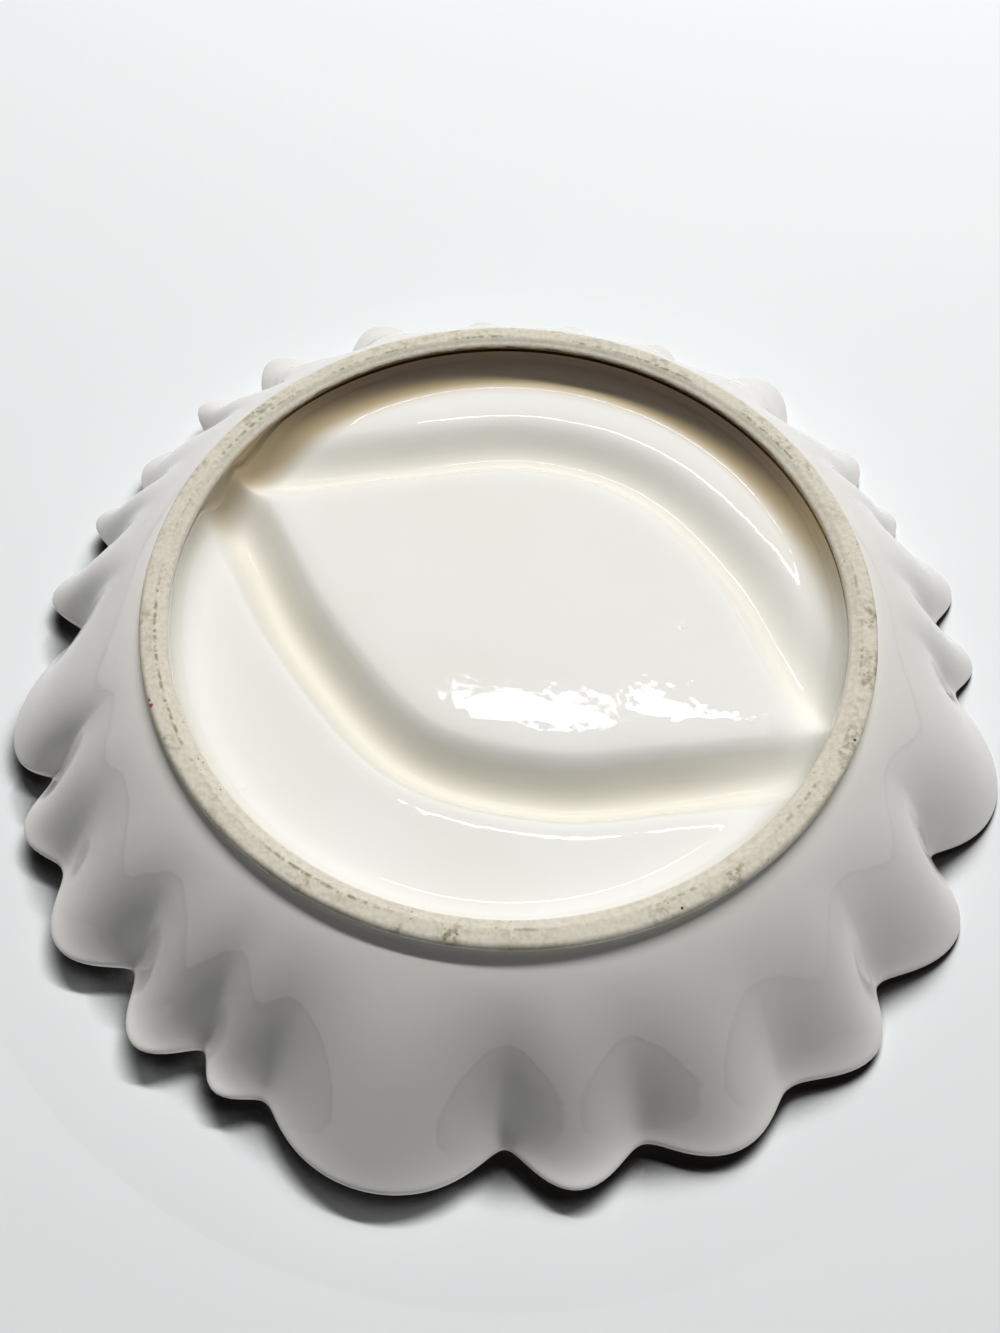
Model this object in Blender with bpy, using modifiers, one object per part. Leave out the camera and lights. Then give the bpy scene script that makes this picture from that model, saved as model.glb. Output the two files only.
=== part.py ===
"""Candy dish with three compartments, a fluted petal wall and a bare foot ring.

Units are metres and +Z is up. The dish stands on its foot ring at z = 0,
and the origin is the middle of that ring.
"""
import math

import bmesh
import bpy
from mathutils import Vector

MM = 0.001

# Clearance kept between neighbouring pieces
GAP = 0.3 * MM

# Foot ring, with a cove up its inner side as a share of the recess depth
FOOT_RADIUS = 86.0 * MM
FOOT_WIDTH = 6.5 * MM
FOOT_STAND = 3.6 * MM
FOOT_OUTER_ROUND = 1.4 * MM
FOOT_INNER_CHAMFER = 1.2 * MM
FOOT_STEPS = 72
FOOT_ROUND_STEPS = 3
COVE_SHARE = 0.7
COVE_TURN = math.radians(60.0)
COVE_STEPS = 4

# Floors of the compartments
RECESS_DEPTH = 10.5 * MM
FLOOR_THICKNESS = 5.0 * MM
FLOOR_ARC_STEPS = 24

# Dividers: ridges above, hollow grooves below, the rear one shallower
DIVIDER_RISE = 9.0 * MM
DIVIDER_WIDTH = 21.0 * MM
CREST_THICKNESS = 5.0 * MM
REAR_CREST_THICKNESS = 8.4 * MM
SHOULDER_WIDTH = 3.0 * MM
SECTION_STEPS = 10
ROUTE_STEPS_PER_SPAN = 5
ROUTE_OVERRUN = 26.0 * MM

# Both dividers meet on one line across the dish
SEAM_BEARING = math.radians(26.5)

# Each route: bearing in degrees and distance from the middle, as a share of the foot radius
REAR_ROUTE = (
    (33.0, 0.908),
    (58.0, 0.671),
    (95.0, 0.626),
    (129.0, 0.648),
    (164.0, 0.705),
    (197.0, 0.899),
)
FRONT_ROUTE = (
    (22.0, 0.877),
    (-7.0, 0.583),
    (-58.5, 0.499),
    (-102.5, 0.540),
    (-133.5, 0.677),
    (-150.0, 0.913),
)

# Wall, with its lobe tips flaring out over the last of its height
RIM_RADIUS = 127.0 * MM
FLARE_REACH = 4.0 * MM
DISH_HEIGHT = 44.0 * MM
WALL_THICKNESS = 5.0 * MM
LIP_THICKNESS = 4.5 * MM
CORNER_EASE = 1.2 * MM
FOOT_SLOPE = math.radians(27.0)
RIM_SLOPE = math.radians(56.0)
FOOT_SWEEP = 0.6
RIM_SWEEP = 0.24
WALL_ROWS = 8
LIP_ROWS = 4

# Flutes; wider lobes are fuller across and flare from lower down
FIRST_NOTCH_BEARING = 180.5
FLUTE_START = 0.1
FLUTE_GROWTH = 1.2
FLUTE_DEPTH = 6.0 * MM
NOTCH_DROP = 1.0 * MM
NOTCH_SOFTNESS = 0.4
TIP_DROOP = 5.0 * MM
TIP_FULLNESS = 0.95
FULLNESS_EASE = 1.5
FLARE_POWER = 3.2
FLARE_EASE = 2.2
COLUMNS_PER_LOBE = 8

# One row for each lobe, counter-clockwise from the first notch: width in degrees,
# place of the tip across the lobe, how far the tip stays inside the rim radius and how
# far the notch before it is cut in, both as shares of the flute depth, and how far the
# tip hangs, as a share of the droop; a negative tip share reaches past the rim
LOBES = (
    (23.5, 0.52, -0.15, 0.80, 0.0),
    (18.0, 0.42, 0.00, 1.35, 0.0),
    (15.5, 0.42, 0.00, 0.85, 0.2),
    (16.5, 0.46, 0.00, 0.30, 0.4),
    (14.5, 0.50, 0.20, 0.60, 0.7),
    (26.0, 0.52, -0.35, 1.00, 0.8),
    (8.5, 0.50, 0.65, 0.55, 0.8),
    (12.5, 0.45, 0.15, 0.85, 0.8),
    (15.5, 0.48, 0.05, 1.10, 0.6),
    (12.0, 0.48, 0.30, 0.60, 0.3),
    (21.5, 0.30, 0.10, 1.00, 0.1),
    (13.0, 0.40, 0.20, 1.50, 0.0),
    (9.5, 0.45, 0.20, 1.10, 0.1),
    (13.0, 0.40, 0.20, 0.90, 0.1),
    (9.5, 0.35, -0.20, 0.90, 0.6),
    (13.5, 0.40, -0.30, 0.90, 0.9),
    (15.5, 0.45, -0.30, 0.90, 0.9),
    (13.0, 0.50, 0.00, 0.90, 0.6),
    (12.5, 0.50, 0.00, 0.90, 0.6),
    (13.0, 0.50, 0.00, 0.90, 0.6),
    (17.5, 0.55, -0.30, 1.10, 0.9),
    (13.0, 0.60, 0.00, 0.90, 0.3),
    (8.5, 0.60, 0.60, 0.90, 0.2),
    (14.0, 0.60, 0.00, 0.70, 0.0),
    (10.5, 0.55, 0.40, 0.80, 0.1),
)

# Sizes that follow from those above
FLOOR_TOP = RECESS_DEPTH + FLOOR_THICKNESS
WALL_FOOT_RADIUS = FOOT_RADIUS + GAP
HALF_DIVIDER = DIVIDER_WIDTH / 2
HALF_GROOVE = HALF_DIVIDER - SHOULDER_WIDTH
GROOVE_DEPTH = FLOOR_THICKNESS + DIVIDER_RISE - CREST_THICKNESS
REAR_GROOVE_DEPTH = FLOOR_THICKNESS + DIVIDER_RISE - REAR_CREST_THICKNESS
RECESS_RADIUS = FOOT_RADIUS - FOOT_WIDTH
COVE_RADIUS = COVE_SHARE * RECESS_DEPTH
COVE_END_RADIUS = RECESS_RADIUS - COVE_RADIUS * (1.0 - math.cos(COVE_TURN))
WALL_RADIUS = RIM_RADIUS - FLARE_REACH
EVEN_WIDTH = sum(lobe[0] for lobe in LOBES) / len(LOBES)
COLUMNS = COLUMNS_PER_LOBE * len(LOBES)
CUTTER_MARGIN = 2.0 * MM
GROOVE_LEAD = 1.0 * MM
MERGE = 0.01 * MM
SLIVER = 0.05 * MM
SMOOTH_BELOW = math.radians(40.0)
BLOCK_SIZE = 4 * RIM_RADIUS
ROUTE_SHOULDER = FOOT_RADIUS + ROUTE_OVERRUN / 3


def clear_scene():
    for item in list(bpy.data.objects):
        bpy.data.objects.remove(item, do_unlink=True)


def new_collection(name):
    collection = bpy.data.collections.new(name)
    bpy.context.scene.collection.children.link(collection)
    return collection


def material(name, colour, roughness):
    made = bpy.data.materials.new(name)
    made.use_nodes = True
    shader = made.node_tree.nodes["Principled BSDF"]
    shader.inputs["Base Color"].default_value = (*colour, 1.0)
    shader.inputs["Roughness"].default_value = roughness
    shader.inputs["Metallic"].default_value = 0.0
    return made


def glaze(name):
    return material(name, (0.83, 0.82, 0.78), 0.12)


def bisque(name):
    return material(name, (0.58, 0.53, 0.42), 0.85)


def finish_part(part, collection, finish):
    collection.objects.link(part)
    part.data.materials.append(finish)


def finish_cutter(cutter, collection):
    collection.objects.link(cutter)
    cutter.hide_render = True
    cutter.display_type = "WIRE"


def evaluated_mesh(source, name):
    """Bake an object's modifiers or curve into a welded mesh and drop the object."""
    bpy.context.scene.collection.objects.link(source)
    depsgraph = bpy.context.evaluated_depsgraph_get()
    mesh = bpy.data.meshes.new_from_object(source.evaluated_get(depsgraph))
    mesh.name = name
    bpy.data.objects.remove(source, do_unlink=True)
    shape = bmesh.new()
    shape.from_mesh(mesh)
    bmesh.ops.remove_doubles(shape, verts=shape.verts, dist=MERGE)
    bmesh.ops.recalc_face_normals(shape, faces=shape.faces)
    shape.to_mesh(mesh)
    shape.free()
    return mesh


def smooth_shading(mesh):
    mesh.shade_smooth()
    mesh.set_sharp_from_angle(angle=SMOOTH_BELOW)


def turned_mesh(name, profile, closed, steps):
    """Turn (radius, height) points about the Z axis."""
    points = [(radius, 0.0, height) for radius, height in profile]
    edges = [(index, index + 1) for index in range(len(points) - 1)]
    if closed:
        edges.append((len(points) - 1, 0))
    mesh = bpy.data.meshes.new(name)
    mesh.from_pydata(points, edges, [])
    source = bpy.data.objects.new(name, mesh)
    screw = source.modifiers.new("turn", "SCREW")
    screw.axis = "Z"
    screw.steps = steps
    screw.render_steps = steps
    screw.use_merge_vertices = True
    screw.merge_threshold = MERGE
    return evaluated_mesh(source, name)


def blend(low, high, share):
    return low + (high - low) * share


def rounded_max(value, floor, ease):
    """The larger of two values, with the corner between them eased."""
    excess = value - floor
    return floor + (excess + math.sqrt(excess * excess + 4.0 * ease * ease)) / 2


def smooth_path(points, steps_per_span):
    """Catmull-Rom curve through 2D points, without the two outermost spans."""
    path = []
    for index in range(1, len(points) - 2):
        before, start, end, after = points[index - 1:index + 3]
        for step in range(steps_per_span):
            t = step / steps_per_span
            linear = (end - before) * t
            square = (2 * before - 5 * start + 4 * end - after) * t * t
            cube = (3 * start - before - 3 * end + after) * t * t * t
            path.append(start + (linear + square + cube) / 2)
    path.append(points[-2])
    return path


def on_bearing(bearing, distance):
    return Vector((math.cos(bearing), math.sin(bearing))) * distance


def divider_route(stations, near_bearing, far_bearing):
    """Plan curve of a divider, run out along the seam line past the wall at both ends."""
    reach = FOOT_RADIUS + ROUTE_OVERRUN
    points = [on_bearing(near_bearing, reach + ROUTE_OVERRUN), on_bearing(near_bearing, reach)]
    points.append(on_bearing(near_bearing, ROUTE_SHOULDER))
    points += [on_bearing(math.radians(bearing), share * FOOT_RADIUS) for bearing, share in stations]
    points.append(on_bearing(far_bearing, ROUTE_SHOULDER))
    points += [on_bearing(far_bearing, reach), on_bearing(far_bearing, reach + ROUTE_OVERRUN)]
    return smooth_path(points, ROUTE_STEPS_PER_SPAN)


def offset_path(path, distance):
    """Plan curve moved sideways, to the left of its run."""
    moved = []
    for index, point in enumerate(path):
        ahead = path[min(index + 1, len(path) - 1)]
        behind = path[max(index - 1, 0)]
        run = (ahead - behind).normalized()
        moved.append(point + Vector((-run.y, run.x)) * distance)
    return moved


def clipped(path, measure):
    """Longest run of a path where measure is positive, cut exactly where it turns."""
    runs = [[]]
    for start, end in zip(path, path[1:]):
        low, high = measure(start), measure(end)
        if low > 0.0:
            runs[-1].append(start)
        if (low > 0.0) != (high > 0.0):
            runs[-1].append(start.lerp(end, low / (low - high)))
            if low > 0.0:
                runs.append([])
    return max(runs, key=len)


def bell(share):
    """Rounded hump: 1 in the middle, 0 with a level edge at 1."""
    return 0.5 + 0.5 * math.cos(math.pi * min(abs(share), 1.0))


def humped_section(half_width, base, level, rise):
    """Closed section: flat base, upright sides and a humped top."""
    section = [(-half_width, base), (half_width, base)]
    for step in range(SECTION_STEPS + 1):
        across = half_width * (1.0 - 2.0 * step / SECTION_STEPS)
        section.append((across, level + rise * bell(across / half_width)))
    return section


def poly_curve(name, points, closed):
    """Flat curve of straight spans through 2D points."""
    curve = bpy.data.curves.new(name, "CURVE")
    curve.dimensions = "2D"
    spline = curve.splines.new("POLY")
    spline.points.add(len(points) - 1)
    for knot, (x, y) in zip(spline.points, points):
        knot.co = (x, y, 0.0, 1.0)
    spline.use_cyclic_u = closed
    return curve


def swept_mesh(name, path, section):
    """Carry a closed section, given as (across, height), along a plan curve."""
    outline = bpy.data.objects.new(name + "_section", poly_curve(name + "_section", section, True))
    curve = poly_curve(name, path, False)
    curve.dimensions = "3D"
    curve.fill_mode = "FULL"
    curve.twist_mode = "Z_UP"
    curve.bevel_mode = "OBJECT"
    curve.bevel_object = outline
    curve.use_fill_caps = True
    mesh = evaluated_mesh(bpy.data.objects.new(name, curve), name)
    bpy.data.objects.remove(outline, do_unlink=True)
    return mesh


def foot_profile():
    top = RECESS_DEPTH - GAP
    profile = [(FOOT_RADIUS, top)]
    centre = FOOT_RADIUS - FOOT_OUTER_ROUND
    for step in range(FOOT_ROUND_STEPS + 1):
        turn = math.pi / 2 * step / FOOT_ROUND_STEPS
        radius = centre + FOOT_OUTER_ROUND * math.cos(turn)
        profile.append((radius, FOOT_OUTER_ROUND * (1.0 - math.sin(turn))))
    profile.append((RECESS_RADIUS + FOOT_INNER_CHAMFER, 0.0))
    profile.append((RECESS_RADIUS, FOOT_INNER_CHAMFER))
    for step in range(COVE_STEPS + 1):
        turn = COVE_TURN * step / COVE_STEPS
        radius = RECESS_RADIUS - COVE_RADIUS * (1.0 - math.cos(turn))
        profile.append((radius, top - COVE_RADIUS * (1.0 - math.sin(turn))))
    profile.append((COVE_END_RADIUS, top))
    return profile


def make_foot_ring(parts):
    mesh = turned_mesh("foot_ring", foot_profile(), True, FOOT_STEPS)
    smooth_shading(mesh)
    finish_part(bpy.data.objects.new("foot_ring", mesh), parts, bisque("bare_bisque"))


def wall_curve(share):
    """Point and inward normal on the wall's outer side, 0 at the foot, 1 at the lip."""
    span = WALL_RADIUS - FOOT_RADIUS
    lip = LIP_THICKNESS / 2
    start = Vector((WALL_FOOT_RADIUS, FOOT_STAND))
    end = Vector((WALL_RADIUS - lip, DISH_HEIGHT - lip))
    end += Vector((math.sin(RIM_SLOPE), -math.cos(RIM_SLOPE))) * lip
    near = start + Vector((math.cos(FOOT_SLOPE), math.sin(FOOT_SLOPE))) * span * FOOT_SWEEP
    far = end - Vector((math.cos(RIM_SLOPE), math.sin(RIM_SLOPE))) * span * RIM_SWEEP
    rest = 1.0 - share
    point = start * rest ** 3 + near * 3 * rest * rest * share
    point += far * 3 * rest * share * share + end * share ** 3
    run = (near - start) * rest * rest + (far - near) * 2 * rest * share + (end - far) * share * share
    run.normalize()
    return point, Vector((-run.y, run.x))


def inner_point(share, clearance):
    """Point on the wall's inner side, eased into the floor level."""
    point, normal = wall_curve(share)
    thickness = blend(WALL_THICKNESS, LIP_THICKNESS, share)
    point += normal * (thickness + clearance)
    return point.x, rounded_max(point.y, FLOOR_TOP + clearance, CORNER_EASE)


def inner_rows(clearance, start_radius):
    """Rows up the inner side, each with its share of the flutes."""
    rows = [(start_radius, FLOOR_TOP + clearance, 0.0)]
    for row in range(1, WALL_ROWS + 1):
        share = row / WALL_ROWS
        radius, height = inner_point(share, clearance)
        if radius > start_radius + CORNER_EASE:
            rows.append((radius, height, share))
    return rows


def lip_rows():
    """Half-round edge from the outer side to the inner side."""
    lip = LIP_THICKNESS / 2
    rows = []
    for row in range(1, LIP_ROWS):
        turn = RIM_SLOPE - math.pi / 2 + math.pi * row / LIP_ROWS
        radius = WALL_RADIUS - lip + lip * math.cos(turn)
        rows.append((radius, DISH_HEIGHT - lip + lip * math.sin(turn), 1.0))
    return rows


def outer_rows():
    rows = []
    for row in range(WALL_ROWS + 1):
        point, _ = wall_curve(row / WALL_ROWS)
        rows.append((point.x, point.y, row / WALL_ROWS))
    return rows


def lobe_columns():
    """Bearing of each column of the wall, with its lobe and its turn across that lobe."""
    total = sum(lobe[0] for lobe in LOBES)
    notch = math.radians(FIRST_NOTCH_BEARING)
    columns = []
    for index, lobe in enumerate(LOBES):
        width = math.tau * lobe[0] / total
        tip_place = lobe[1]
        for step in range(COLUMNS_PER_LOBE):
            turn = step / COLUMNS_PER_LOBE
            across = turn + (tip_place - 0.5) * math.sin(math.pi * turn)
            columns.append((notch + width * across, index, turn, across))
        notch += width
    return columns


def softened(wave, fullness, softness):
    """Wave from 0 to 1 with a fuller tip and a rounded foot."""
    low = softness ** fullness
    high = math.hypot(1.0, softness) ** fullness
    return (math.hypot(wave, softness) ** fullness - low) / (high - low)


def flute(column, share):
    """How far a column is drawn in and sunk at a share of the way up the wall."""
    _, index, turn, across = column
    width, _, tip_inset, notch_inset, tip_drop = LOBES[index]
    next_notch = LOBES[(index + 1) % len(LOBES)][3]
    wideness = max(1.0, width / EVEN_WIDTH)
    strength = max(0.0, (share - FLUTE_START) / (1.0 - FLUTE_START)) ** FLUTE_GROWTH
    flare = share ** (FLARE_POWER / wideness ** FLARE_EASE)
    wave = math.sin(math.pi * turn)
    full = softened(wave, TIP_FULLNESS / wideness ** FULLNESS_EASE, NOTCH_SOFTNESS / wideness)
    crest = blend(wave * wave, full, strength)
    inset = blend(blend(notch_inset, next_notch, across), tip_inset, crest) * FLUTE_DEPTH * strength
    drop = blend(NOTCH_DROP * strength, tip_drop * TIP_DROOP * flare, crest)
    return inset - FLARE_REACH * crest * flare, drop


def flute_mesh(mesh, rows):
    """Draw a turned wall in between its lobes and split its faces along the short diagonal."""
    columns = lobe_columns()
    shape = bmesh.new()
    shape.from_mesh(mesh)
    for vertex in shape.verts:
        place = vertex.co
        radius = math.hypot(place.x, place.y)
        if radius < MERGE:
            continue
        turn = math.atan2(place.y, place.x) / math.tau % 1.0
        column = columns[round(turn * COLUMNS) % COLUMNS]
        nearest = min(rows, key=lambda row: abs(row[0] - radius) + abs(row[1] - place.z))
        inset, drop = flute(column, nearest[2])
        x, y = on_bearing(column[0], radius - inset)
        vertex.co = (x, y, place.z - drop)
    bmesh.ops.triangulate(shape, faces=shape.faces, quad_method="SHORT_EDGE")
    shape.to_mesh(mesh)
    shape.free()


def make_fluted_wall(parts):
    rows = outer_rows() + lip_rows() + inner_rows(0.0, WALL_FOOT_RADIUS)[::-1]
    mesh = turned_mesh("fluted_wall", [row[:2] for row in rows], True, COLUMNS)
    flute_mesh(mesh, rows)
    smooth_shading(mesh)
    finish_part(bpy.data.objects.new("fluted_wall", mesh), parts, glaze("wall_glaze"))


def make_well(cutters):
    """Space inside the wall that a divider may fill."""
    base = RECESS_DEPTH - CUTTER_MARGIN
    rows = [(0.0, base, 0.0), (FOOT_RADIUS, base, 0.0)] + inner_rows(GAP, FOOT_RADIUS)
    rows.append((0.0, DISH_HEIGHT, 0.0))
    mesh = turned_mesh("well", [row[:2] for row in rows], False, COLUMNS)
    flute_mesh(mesh, rows)
    well = bpy.data.objects.new("well", mesh)
    finish_cutter(well, cutters)
    return well


def make_half_space(name, side, cutters):
    """Block on one side of the seam line, one clearance off it."""
    shape = bmesh.new()
    bmesh.ops.create_cube(shape, size=BLOCK_SIZE)
    bmesh.ops.translate(shape, verts=shape.verts, vec=(0.0, side * (BLOCK_SIZE / 2 + GAP), 0.0))
    mesh = bpy.data.meshes.new(name)
    shape.to_mesh(mesh)
    shape.free()
    block = bpy.data.objects.new(name, mesh)
    block.rotation_euler.z = SEAM_BEARING
    finish_cutter(block, cutters)
    return block


def make_groove(name, route, depth, cutters):
    """Hollow under a divider, ending where the foot ring's cove ends."""
    between = [start.lerp(end, 0.5) for start, end in zip(route, route[1:])]
    path = clipped(between, lambda point: COVE_END_RADIUS - point.length)
    mouth = RECESS_DEPTH - GROOVE_LEAD
    section = humped_section(HALF_GROOVE, mouth - CUTTER_MARGIN, mouth, depth + GROOVE_LEAD)
    groove = bpy.data.objects.new(name, swept_mesh(name, path, section))
    finish_cutter(groove, cutters)
    return groove


def cut(part, cutter, operation):
    boolean = part.modifiers.new(cutter.name, "BOOLEAN")
    boolean.object = cutter
    boolean.operation = operation
    boolean.solver = "EXACT"


def make_divider(name, route, side, depth, well, parts, cutters):
    section = humped_section(HALF_DIVIDER, RECESS_DEPTH, FLOOR_TOP, DIVIDER_RISE)
    mesh = swept_mesh(name, route, section)
    smooth_shading(mesh)
    divider = bpy.data.objects.new(name, mesh)
    cut(divider, well, "INTERSECT")
    cut(divider, make_half_space(name + "_side", side, cutters), "INTERSECT")
    cut(divider, make_groove(name + "_groove", route, depth, cutters), "DIFFERENCE")
    weld = divider.modifiers.new("weld", "WELD")
    weld.merge_threshold = SLIVER
    finish_part(divider, parts, glaze(name + "_glaze"))


def seam_side(point):
    """Distance of a plan point from the seam line, positive at the rear."""
    return point.y * math.cos(SEAM_BEARING) - point.x * math.sin(SEAM_BEARING)


def make_floor(name, outline, parts):
    curve = poly_curve(name, outline, True)
    curve.fill_mode = "BOTH"
    curve.extrude = FLOOR_THICKNESS / 2
    slab = bpy.data.objects.new(name, evaluated_mesh(bpy.data.objects.new(name, curve), name))
    slab.location.z = RECESS_DEPTH + FLOOR_THICKNESS / 2
    finish_part(slab, parts, glaze(name + "_glaze"))


def make_centre_floor(rear_edge, front_edge, parts):
    rear = clipped(rear_edge, seam_side)
    front = clipped(front_edge, lambda point: -seam_side(point))
    make_floor("centre_floor", rear + front[::-1], parts)


def make_side_floor(name, edge, parts):
    """Crescent between a divider and the wall."""
    inside = clipped(edge, lambda point: FOOT_RADIUS - point.length)
    start = math.atan2(inside[-1].y, inside[-1].x)
    end = math.atan2(inside[0].y, inside[0].x)
    middle = inside[len(inside) // 2]
    bearing = math.atan2(middle.y, middle.x)
    to_middle = (bearing - start + math.pi) % math.tau - math.pi
    from_middle = (end - bearing + math.pi) % math.tau - math.pi
    sweep = to_middle + from_middle
    shares = [step / FLOOR_ARC_STEPS for step in range(1, FLOOR_ARC_STEPS)]
    arc = [on_bearing(start + sweep * share, FOOT_RADIUS) for share in shares]
    make_floor(name, inside + arc, parts)


def build():
    clear_scene()
    parts = new_collection("candy_dish")
    cutters = new_collection("candy_dish_cutters")
    rear = divider_route(REAR_ROUTE, SEAM_BEARING, SEAM_BEARING + math.pi)
    front = divider_route(FRONT_ROUTE, SEAM_BEARING, SEAM_BEARING - math.pi)
    edge = HALF_DIVIDER + GAP
    make_foot_ring(parts)
    make_fluted_wall(parts)
    make_centre_floor(offset_path(rear, edge), offset_path(front, -edge), parts)
    make_side_floor("rear_floor", offset_path(rear, -edge), parts)
    make_side_floor("front_floor", offset_path(front, edge), parts)
    well = make_well(cutters)
    make_divider("rear_divider", rear, 1.0, REAR_GROOVE_DEPTH, well, parts, cutters)
    make_divider("front_divider", front, -1.0, GROOVE_DEPTH, well, parts, cutters)


build()
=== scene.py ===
"""Candy dish: fine glazed surface over the solids, bare foot band, light, floor and camera."""
import math

import bpy
import numpy as np
from mathutils import Matrix, Vector
from mathutils.geometry import delaunay_2d_cdt


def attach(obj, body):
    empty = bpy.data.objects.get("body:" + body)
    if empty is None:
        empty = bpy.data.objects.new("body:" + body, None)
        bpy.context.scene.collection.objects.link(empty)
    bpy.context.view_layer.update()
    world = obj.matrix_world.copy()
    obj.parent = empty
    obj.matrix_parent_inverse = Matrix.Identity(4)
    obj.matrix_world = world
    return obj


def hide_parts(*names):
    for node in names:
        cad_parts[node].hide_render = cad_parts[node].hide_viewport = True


MM = 0.001

# Foot ring
FOOT_RADIUS = 86.0 * MM
FOOT_WIDTH = 6.5 * MM
FOOT_STAND = 3.6 * MM
FOOT_OUTER_ROUND = 1.4 * MM
CHAMFER_WIDTH = 2.6 * MM
CHAMFER_HEIGHT = 0.9 * MM
INNER_ROUND = 1.2 * MM
UNDERCUT = 1.2 * MM
RECESS_RADIUS = FOOT_RADIUS - FOOT_WIDTH
CREASE_START = FOOT_STAND - 1.0 * MM
CREASE_SHARE = 0.015
NECK_INSET = 1.3 * MM
SLAB_EDGE = FOOT_STAND + 1.5 * MM
CHAMFER_LEFT = 0.8
CHAMFER_POWER = 1.5

# Rows of the foot ring, as shares or degrees of the way along each of its surfaces
UNDERCUT_ROWS = 6
INNER_ROUND_SHARES = (0.2, 0.4, 0.6, 0.8, 1.0)
CHAMFER_SHARES = (0.25, 0.5, 0.75, 1.0)
LAND_SHARES = (0.34, 0.67, 1.0)
OUTER_ROUND_TURNS = (15, 30, 45, 60, 75, 90)
NECK_SHARES = (0.5, 1.0)

# Floors and dividers
RECESS_DEPTH = 10.5 * MM
FLOOR_TOP = 15.5 * MM
DIVIDER_RISE = 9.0 * MM
HALF_DIVIDER = 10.5 * MM
GROOVE_DEPTH = 8.0 * MM
CROWN_DEPTH = 1.6 * MM
HALF_CROWN = 13.5 * MM
HALF_GROOVE = 9.6 * MM
GROOVE_SKEW = 2.2 * MM
REAR_GROOVE_SHARE = 0.55
GROOVE_END_SHARE = 0.62
GROOVE_FADE_START = 55.0 * MM
GROOVE_FADE_LENGTH = 25.0 * MM
RECESS_FILLET = 7.4 * MM
SEAM_BEARING = math.radians(26.5)
RIDGE_FADE_START = 92.0 * MM
RIDGE_FADE_LENGTH = 18.0 * MM
JOIN_POWER = 2.6
WALL_JOIN_POWER = 3.0

# Routes of the dividers: bearing in degrees and distance from the middle
REAR_ROUTE = (
    (27.5, 122.0 * MM),
    (30.0, 98.0 * MM),
    (33.0, 78.0 * MM),
    (58.0, 57.7 * MM),
    (95.0, 53.8 * MM),
    (129.0, 55.7 * MM),
    (164.5, 60.6 * MM),
    (194.5, 76.3 * MM),
    (201.5, 98.0 * MM),
    (204.0, 122.0 * MM),
)
FRONT_ROUTE = (
    (26.0, 122.0 * MM),
    (24.5, 98.0 * MM),
    (21.5, 75.4 * MM),
    (-7.0, 50.1 * MM),
    (-58.5, 42.9 * MM),
    (-102.5, 46.4 * MM),
    (-133.5, 58.2 * MM),
    (-150.0, 78.5 * MM),
    (-151.5, 98.0 * MM),
    (-152.5, 122.0 * MM),
)
ROUTE_SAMPLES = 40
ROUTE_STEP = 1.0 * MM

# Triangles of the floors and dividers
STRIP_LINES = 9
RECESS_TURNS = (0, 11, 22, 33, 44, 54, 63, 71, 79, 85)
FLOOR_STEP = 2.6 * MM
STRIP_MARGIN = 1.2 * MM
SEAM_START = 0.5 * FOOT_RADIUS
SEAM_POINTS = 60
PLAN_TOLERANCE_MM = 1.0e-4
SLOPE_STEP = 0.1 * MM
POINT_BATCH = 4000

# Wall
RIM_RADIUS = 127.0 * MM
FLARE_REACH = 4.0 * MM
WALL_RADIUS = RIM_RADIUS - FLARE_REACH
DISH_HEIGHT = 44.0 * MM
WALL_THICKNESS = 5.0 * MM
LIP_THICKNESS = 4.5 * MM
FLOOR_EASE = 3.0 * MM
FOOT_SLOPE = math.radians(27.0)
RIM_SLOPE = math.radians(56.0)
FOOT_SWEEP = 0.6
RIM_SWEEP = 0.24
OUTER_ROWS = 44
INNER_ROWS = 40
LIP_ROWS = 10
CREASE_ROWS = 6
INNER_SEARCH = (0.0, 0.5)
HALVINGS = 40

# Flutes
FIRST_NOTCH_BEARING = 180.5
FLUTE_START = 0.1
FLUTE_DEPTH = 6.0 * MM
NOTCH_DROP = 1.0 * MM
TIP_DROOP = 5.0 * MM
TIP_FULLNESS = 0.95
EVEN_WIDTH = 14.4
NOTCH_SOFTNESS = 0.4
FLUTE_GROWTH = 1.2
HOLLOW_DEPTH = 5.0 * MM
FLARE_POWER = 4.6
FLARE_EASE = 2.0
FULLNESS_EASE = 1.5
COLUMN_PITCH = 0.6
COLUMN_EASE = 0.5

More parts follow.
